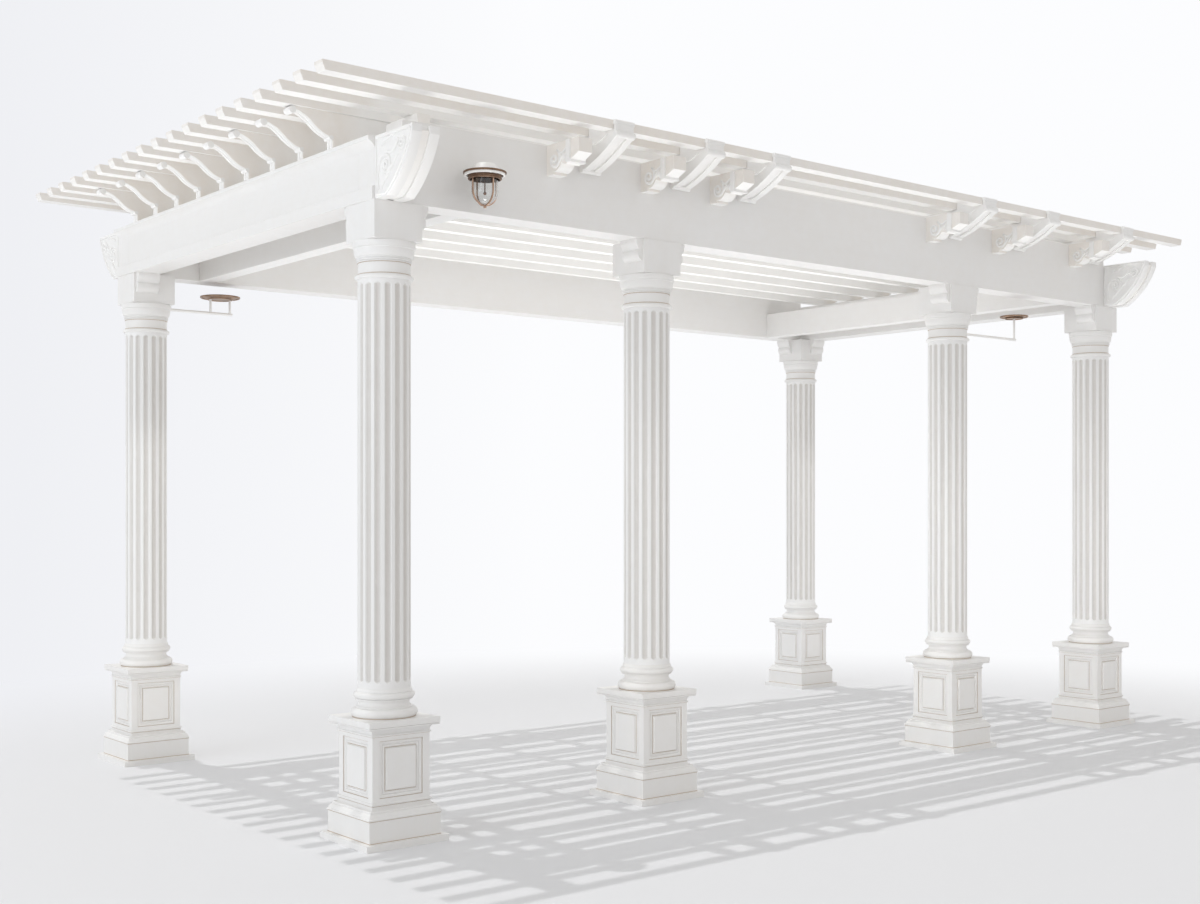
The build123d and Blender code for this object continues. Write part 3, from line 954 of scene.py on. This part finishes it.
class PERGOLA_OT_roof(bpy.types.Operator):
    """Paint joists, battens and slats, add tail beads, rolls and plugs"""

    bl_idname = "pergola.roof"
    bl_label = "Roof"

    def execute(self, context):
        dress(["joists", "battens", "slats"], "roof", ROOF_EASE)
        self.bead_tails(context.scene.pergola_carving)
        self.plug_slats()
        return {"FINISHED"}

    def tail_curve(self):
        """Points down the cyma edge of the first joist's left tail."""
        low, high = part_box("joists")
        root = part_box("left_end_mouldings")[0].x
        curve = []
        for vertex in NODES["joists"].data.vertices:
            spot = vertex.co
            if abs(spot.y - low.y) < 0.0004 and spot.x < root + 0.001 and spot.z < high.z - 0.001:
                curve.append(spot)
        return thinned(sorted(curve, key=lambda spot: (round(spot.x, 4), -spot.z)))

    def bead_tails(self, settings):
        """Two beads down each cyma tail, with a roll at its tip and at its root."""
        low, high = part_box("joists")
        curve = self.tail_curve()
        tip_roll = (low.x - 0.003, high.z - 0.0155, 0.0145)
        root_roll = (curve[-1].x - 0.006, curve[-2].z - 0.001, 0.009)
        beads = Carving()
        rolls = Carving()
        for near, far in spans("joists", "y"):
            centre = (near + far) / 2
            half = (far - near) / 2
            for end in (1, -1):
                for offset in (-half * 0.5, half * 0.5):
                    path = [(spot.x * end, centre + offset, spot.z) for spot in curve]
                    beads.bead(path, settings.bead_width, settings.bead_height, side=(0, -end, 0))
                for place, level, size in (tip_roll, root_roll):
                    start = (place * end, centre - half * 1.1, level)
                    stop = (place * end, centre + half * 1.1, level)
                    rolls.rod(start, stop, size)
        beads.place("tail_beads", "carved", "roof_paint")
        rolls.place("tail_rolls", "carved", "roof_paint")

    def plug_slats(self):
        """Small round plugs over the fixings where slats cross battens."""
        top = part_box("slats")[1].z - 0.001
        outline = [(0.0065, 0.0), (0.0065, 0.0016), (0.005, 0.0024)]
        plugs = Carving()
        for near, far in spans("slats", "y", SLAT_GAP):
            for left, right in spans("battens", "x", SLAT_GAP):
                plugs.turn(((left + right) / 2, (near + far) / 2, top), outline, 12)
        plugs.place("slat_plugs", "roof", "roof_paint")


class PERGOLA_OT_consoles(bpy.types.Operator):
    """Paint the corner consoles and carve scrolls and leaves on their faces"""

    bl_idname = "pergola.consoles"
    bl_label = "Corner consoles"

    def execute(self, context):
        relief = context.scene.pergola_carving.relief * 0.7
        dress(CONSOLES, "carved", BLOCK_EASE)
        for name in CONSOLES:
            low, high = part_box(name)
            wall = high.y if low.y < 0 else low.y
            outward = -1 if low.y < 0 else 1
            edge = self.slanting_edge(name, wall, outward, low, high)
            carving = Carving()
            for points, width, share, taper in self.pattern(edge, high - low):
                for plane, facing in ((low.x, -1), (high.x, 1)):
                    spot = (plane, facing, wall, outward, low.z)
                    carving.cheek_bead(*spot, points, width, relief * share, taper)
            carving.place(f"{name}_carving", "carved", "ornament_paint")
            self.leaf(name, wall, outward, edge)
        return {"FINISHED"}

    def leaf(self, name, wall, outward, edge):
        """Bellied leaf set back between the two cheeks of a console."""
        inset = 0.011
        half = 0.0165
        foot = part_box(name)[0].z
        outline = [(0.002, inset), (0.040, inset)]
        outline += [(out - inset, rise + inset) for out, rise in edge]
        path = [Vector((middle(name).x, wall + outward * out, foot + rise)) for out, rise in outline]
        carving = Carving().ribbon(path, (outward, 0, 0), half, 0.006)
        # The leaf takes the warmer roof paint: painted shade in the recess between the cheeks.
        carving.place(f"{name}_leaf", "roof", "ornament_paint")

    def slanting_edge(self, name, wall, outward, low, high):
        """The bellied edge of a console's cheek as (reach, rise) from its foot to its nose."""
        edge = []
        for vertex in NODES[name].data.vertices:
            out = (vertex.co.y - wall) * outward
            rise = vertex.co.z - low.z
            if abs(vertex.co.x - low.x) < 0.0005 and out > 0.02 and rise < high.z - low.z - 0.01:
                edge.append(Vector((out, rise)))
        return thinned(sorted(edge, key=lambda spot: spot.x))

    def pattern(self, edge, size):
        """Lines carved on a cheek: points (reach, rise), width, share of the relief and taper."""
        inset = 0.013
        reach = size.y - inset
        rise = size.z - inset
        belly = [(out - inset * 0.75, up + inset * 0.75) for out, up in edge]
        border = [(inset, inset), *belly, (reach, rise), (inset, rise), (inset, inset)]
        stem = [(0.030 - 0.006 * sin(pi * share), 0.030 + 0.07 * share) for share in shares(12)]
        sweep = []
        for share in shares(16):
            sweep.append((0.092 + 0.080 * share, 0.160 + 0.036 * share - 0.020 * sin(pi * share)))
        lines = [
            (border, 0.009, 0.8, None),
            (spiral(*CONSOLE_LOWER_VOLUTE), 0.014, 1.0, None),
            (stem, 0.012, 1.0, None),
            (spiral(*CONSOLE_UPPER_VOLUTE), 0.012, 1.0, None),
            (sweep, 0.012, 1.0, None),
        ]
        for number in range(4):
            root_out = 0.052 + 0.028 * number
            root_rise = 0.026 + 0.026 * number
            leaf = []
            for share in shares(11):
                angle = radians(96 - 52 * share)
                length = 0.050 * share
                leaf.append((root_out + length * cos(angle), root_rise + length * sin(angle)))
            lines.append((leaf, 0.017, 1.0, leaf_width))
        for number in range(3):
            root_out = 0.050 + 0.036 * number
            root_rise = 0.188 + 0.009 * number
            curl = []
            for share in shares(8):
                curl.append((root_out + 0.034 * share, root_rise + 0.017 * sin(pi * 0.5 * share)))
            lines.append((curl, 0.013, 0.9, leaf_width))
        return lines


class PERGOLA_OT_brackets(bpy.types.Operator):
    """Paint the eave brackets, carve volutes and collars, roll the strap ends"""

    bl_idname = "pergola.brackets"
    bl_label = "Eave brackets"

    def execute(self, context):
        relief = context.scene.pergola_carving.relief
        for side, outward in (("front", -1), ("rear", 1)):
            dress([f"{side}_scrolls"], "roof", BRACKET_EASE)
            dress([f"{side}_straps"], "carved", BRACKET_EASE)
            self.carve_scrolls(side, outward, relief)
            self.roll_straps(side, outward, relief)
        return {"FINISHED"}

    def carve_scrolls(self, side, outward, relief):
        """Volute, vine and three buds on both cheeks of every scroll block, and its collar."""
        name = f"{side}_scrolls"
        low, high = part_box(name)
        wall = high.y if outward < 0 else low.y
        reach = high.y - low.y
        volute = spiral(*SCROLL_VOLUTE)
        vine = [(0.074 + 0.058 * share, -0.032 - 0.016 * sin(pi * share)) for share in shares(15)]
        lines = [(volute, 0.0125, relief * 0.6, None), (vine, 0.0115, relief * 0.6, None)]
        for number in range(3):
            root = 0.090 + 0.016 * number
            bud = [(root + 0.026 * share, -0.082 + 0.034 * share) for share in shares(9)]
            lines.append((bud, 0.009, relief * 0.8, bud_width))
        carving = Carving()
        for near, far in spans(name, "x"):
            for plane, facing in ((near, -1), (far, 1)):
                for line in lines:
                    carving.cheek_bead(plane, facing, wall, outward, high.z, *line)
            self.collar(carving, near, far, wall + outward * reach * 0.70, high.z)
        carving.place(f"{side}_scroll_volutes", "carved", "ornament_paint")

    def collar(self, carving, near, far, place, top):
        """Raised strip round the two sides and the underside of a scroll block."""
        out = 0.007
        half = 0.013
        depth = 0.084
        head = top - 0.0005
        foot = top - depth - out
        outline = [(near - out, head), (near - out, foot), (far + out, foot), (far + out, head)]
        rings = []
        for y in (place - half, place + half):
            rings.append([(x, y, z) for x, z in outline])
        carving.loft(rings)

    def roll_straps(self, side, outward, relief):
        """Rolls across the ends of every strap console, and a volute and vine on its cheeks."""
        name = f"{side}_straps"
        low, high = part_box(name)
        tip = low.y if outward < 0 else high.y
        wall = high.y if outward < 0 else low.y
        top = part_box("slats")[0].z
        nose = tip - outward * 0.006
        rolls = (
            (nose, top - 0.020, 0.0150),
            (nose, high.z - 0.004, 0.0105),
            (wall + outward * 0.016, low.z + 0.004, 0.0125),
        )
        volute = spiral(*STRAP_VOLUTE)
        vine = []
        for share in shares(17):
            vine.append((0.074 + 0.112 * share, -0.040 + 0.026 * share - 0.010 * sin(pi * share)))
        overhang = 0.003
        carving = Carving()
        for left, right in spans(name, "x"):
            for y, z, size in rolls:
                carving.rod((left - overhang, y, z), (right + overhang, y, z), size)
            for plane, facing in ((left, -1), (right, 1)):
                spot = (plane, facing, wall, outward, top)
                carving.cheek_bead(*spot, volute, 0.0125, relief)
                carving.cheek_bead(*spot, vine, 0.010, relief, vine_width)
        carving.place(f"{side}_strap_rolls", "carved", "ornament_paint")


class PERGOLA_OT_lamps(bpy.types.Operator):
    """Finish the lantern and the dish lamps"""

    bl_idname = "pergola.lamps"
    bl_label = "Lamps"

    def execute(self, context):
        dress(["lantern_canopy"], "lengthwise", CANOPY_EASE)
        dress(["lantern_cage"], "bronze")
        dress(DISH_LAMPS, "brown")
        self.blow_globe()
        self.trim_lantern()
        for name in DISH_LAMPS:
            self.trim_dish(name)
        return {"FINISHED"}

    def trim_lantern(self):
        """Rolled rim, gallery and stem of the lantern, and a pale lip under its disc that is a painted
        highlight on the rim.
        """
        low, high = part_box("lantern_cage")
        radius = (high.x - low.x) / 2
        disc_height = 0.006
        centre = middle("lantern_cage")
        centre.z = high.z
        dress_below("lantern_cage", high.z - 0.0062, "copper")
        inside = 0.0585
        outside = 0.0630
        foot = -0.030
        bead = 0.0025
        gallery = [(inside, foot), (outside, foot)]
        gallery += arc((0.0640, -0.0265), bead, -90, 90, 6)
        gallery += [(outside, -0.0240), (outside, -0.0180)]
        gallery += arc((0.0640, -0.0155), bead, -90, 90, 6)
        gallery += [(outside, -0.0130), (0.0660, -disc_height), (inside, -disc_height), (inside, foot)]
        rod = 0.0026
        stem = [(0.0005, -0.089), *arc((0.0, -0.083), 0.0065, -75, 60, 9)]
        stem += [(rod, -0.074), (rod, -disc_height)]
        trim = Carving()
        trim.turn(centre, roll((radius - 0.003, -0.003), 0.0042, 14), 72)
        trim.turn(centre, gallery, 56)
        trim.turn(centre, stem, 20)
        trim.place("lantern_trim", "bronze", "bronze")
        # Pale band in ornament paint round the edge of the disc: a painted highlight on the rim.
        hollow = radius - 0.012
        brim = radius - 0.0045
        band = [(hollow, -0.0155), (radius - 0.006, -0.0150), (brim, -0.0130)]
        band += [(brim, -0.0068), (hollow, -disc_height), (hollow, -0.0155)]
        lip = Carving().turn(centre, band, 72)
        lip.place("lantern_lip", "carved", "ornament_paint")

    def trim_dish(self, name):
        """Rolled rim and lower ring of a dish lamp; its arm is painted."""
        low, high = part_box(name)
        radius = (high.y - low.y) / 2
        centre = (high.x - radius, (low.y + high.y) / 2, high.z)
        dish_height = 0.021
        dress_below(name, high.z - dish_height, "roof")
        trim = Carving()
        trim.turn(centre, roll((radius - 0.004, -0.004), 0.0048, 12), 64)
        trim.turn(centre, roll((radius * 0.62, -0.014), 0.003, 10), 48)
        trim.place(f"{name}_rim", "brown", "bronze")

    def blow_globe(self):
        """Hollow glass dome, round at its foot and open at its top."""
        low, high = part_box("lantern_globe")
        centre = middle("lantern_globe")
        radius = (high.x - low.x) / 2
        wall = 0.0025
        bore = radius - wall
        outer = []
        inner = []
        for share in shares(12):
            angle = radians(-90 + 90 * share)
            outer.append((max(radius * cos(angle), 0.0005), radius + radius * sin(angle)))
            inner.append((max(bore * cos(angle), 0.0004), radius + bore * sin(angle)))
        outer.append((radius, high.z - low.z))
        inner.append((bore, high.z - low.z))
        globe = Carving().turn((centre.x, centre.y, low.z), outer + inner[::-1], 48)
        piece = globe.place("glass_globe", "glass", "lantern_glass")
        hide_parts("lantern_globe")


class PERGOLA_OT_stage(bpy.types.Operator):
    """Lay the floor, set the light and stand the camera"""

    bl_idname = "pergola.stage"
    bl_label = "Stage"

    def execute(self, context):
        scene = context.scene
        stage = scene.pergola_stage
        self.lay_floor(scene)
        self.light(scene, stage)
        self.stand_camera(scene, stage)
        scene.view_settings.view_transform = "Standard"
        return {"FINISHED"}

    def lay_floor(self, scene):
        mesh = bpy.data.meshes.new("studio_floor")
        corners = [(x * FLOOR_REACH, y * FLOOR_REACH, 0) for x, y in CORNERS]
        mesh.from_pydata(corners, [], [(0, 1, 2, 3)])
        floor = bpy.data.objects.new("studio_floor", mesh)
        scene.collection.objects.link(floor)
        mesh.materials.append(MATERIALS["floor"])

    def light(self, scene, stage):
        """Sky, sun, and soft panels at the left, under the roof, below two eaves and at the columns."""
        scene.world = sky_finish(stage)
        sun = bpy.data.lights.new("sun", "SUN")
        sun.energy = stage.sun_strength
        sun.angle = radians(0.6)
        self.hang(scene, sun, (0, 0, 8), SUN_AIM)
        eave = stage.eave_power
        for name, power, tint, spread, place, aim, size in (
            ("left_panel", stage.left_power, COOL, 180, (-24, -1.6, 5.6), (24, 1.1, -3.8), (20, 11)),
            ("low_panel", stage.low_power, PLAIN, 118, (0, 0, PANEL_HEIGHT), UP, (4.0, 1.7)),
            ("eave_panel", eave, PLAIN, 24, (0, -1.46, PANEL_HEIGHT), UP, (5.6, 0.3)),
            ("end_panel", eave / 2, PLAIN, 24, (-2.72, 0, PANEL_HEIGHT), UP, (0.3, 2.8)),
            ("row_panel", stage.row_power, PLAIN, 14, (-3.6, -4.4, 0.9), (1.0, 0.6, 0), (3.0, 1.5)),
            ("rear_panel", stage.rear_power, PLAIN, 14, (0, -0.7, 0.9), (0.15, 1.0, 0), (5.9, 1.5)),
        ):
            panel = bpy.data.lights.new(name, "AREA")
            panel.energy = power
            panel.color = tint
            panel.spread = radians(spread)
            panel.shape = "RECTANGLE"
            panel.size, panel.size_y = size
            self.hang(scene, panel, place, aim)

    def hang(self, scene, lamp, place, aim):
        """Hangs a lamp at a place, aimed along a direction and hidden from the camera."""
        holder = bpy.data.objects.new(lamp.name, lamp)
        holder.location = place
        holder.rotation_euler = Vector(aim).to_track_quat("-Z", "Y").to_euler()
        holder.visible_camera = False
        scene.collection.objects.link(holder)

    def stand_camera(self, scene, stage):
        lens = bpy.data.cameras.new("photo_view")
        lens.sensor_width = 36.0
        lens.lens = stage.lens
        lens.shift_y = stage.rise
        lens.clip_end = 300.0
        camera = bpy.data.objects.new("photo_view", lens)
        camera.location = stage.camera_place
        camera.rotation_euler = (radians(90), 0, stage.camera_turn)
        scene.collection.objects.link(camera)
        scene.camera = camera


class PERGOLA_PT_sidebar(bpy.types.Panel):
    """Lists the pergola's settings and operators"""

    bl_idname = "PERGOLA_PT_sidebar"
    bl_label = "Pergola"
    bl_space_type = "VIEW_3D"
    bl_region_type = "UI"
    bl_category = "Pergola"

    def draw(self, context):
        scene = context.scene
        for settings in (scene.pergola_paint, scene.pergola_carving, scene.pergola_stage):
            for key in settings.bl_rna.properties.keys():
                if key not in ("rna_type", "name"):
                    self.layout.prop(settings, key)
        for operator in OPERATORS:
            self.layout.operator(operator.bl_idname)


SETTINGS = (PaintSettings, CarvingSettings, StageSettings)
OPERATORS = (
    PERGOLA_OT_finishes,
    PERGOLA_OT_columns,
    PERGOLA_OT_beams,
    PERGOLA_OT_roof,
    PERGOLA_OT_consoles,
    PERGOLA_OT_brackets,
    PERGOLA_OT_lamps,
    PERGOLA_OT_stage,
)
CLASSES = (*SETTINGS, *OPERATORS, PERGOLA_PT_sidebar)


def register():
    for item in CLASSES:
        bpy.utils.register_class(item)
    bpy.types.Scene.pergola_paint = bpy.props.PointerProperty(type=PaintSettings)
    bpy.types.Scene.pergola_carving = bpy.props.PointerProperty(type=CarvingSettings)
    bpy.types.Scene.pergola_stage = bpy.props.PointerProperty(type=StageSettings)


def unregister():
    del bpy.types.Scene.pergola_stage
    del bpy.types.Scene.pergola_carving
    del bpy.types.Scene.pergola_paint
    for item in reversed(CLASSES):
        bpy.utils.unregister_class(item)


def main():
    register()
    bpy.ops.pergola.finishes()
    bpy.ops.pergola.columns()
    bpy.ops.pergola.beams()
    bpy.ops.pergola.roof()
    bpy.ops.pergola.consoles()
    bpy.ops.pergola.brackets()
    bpy.ops.pergola.lamps()
    bpy.ops.pergola.stage()


if __name__ == "__main__":
    main()
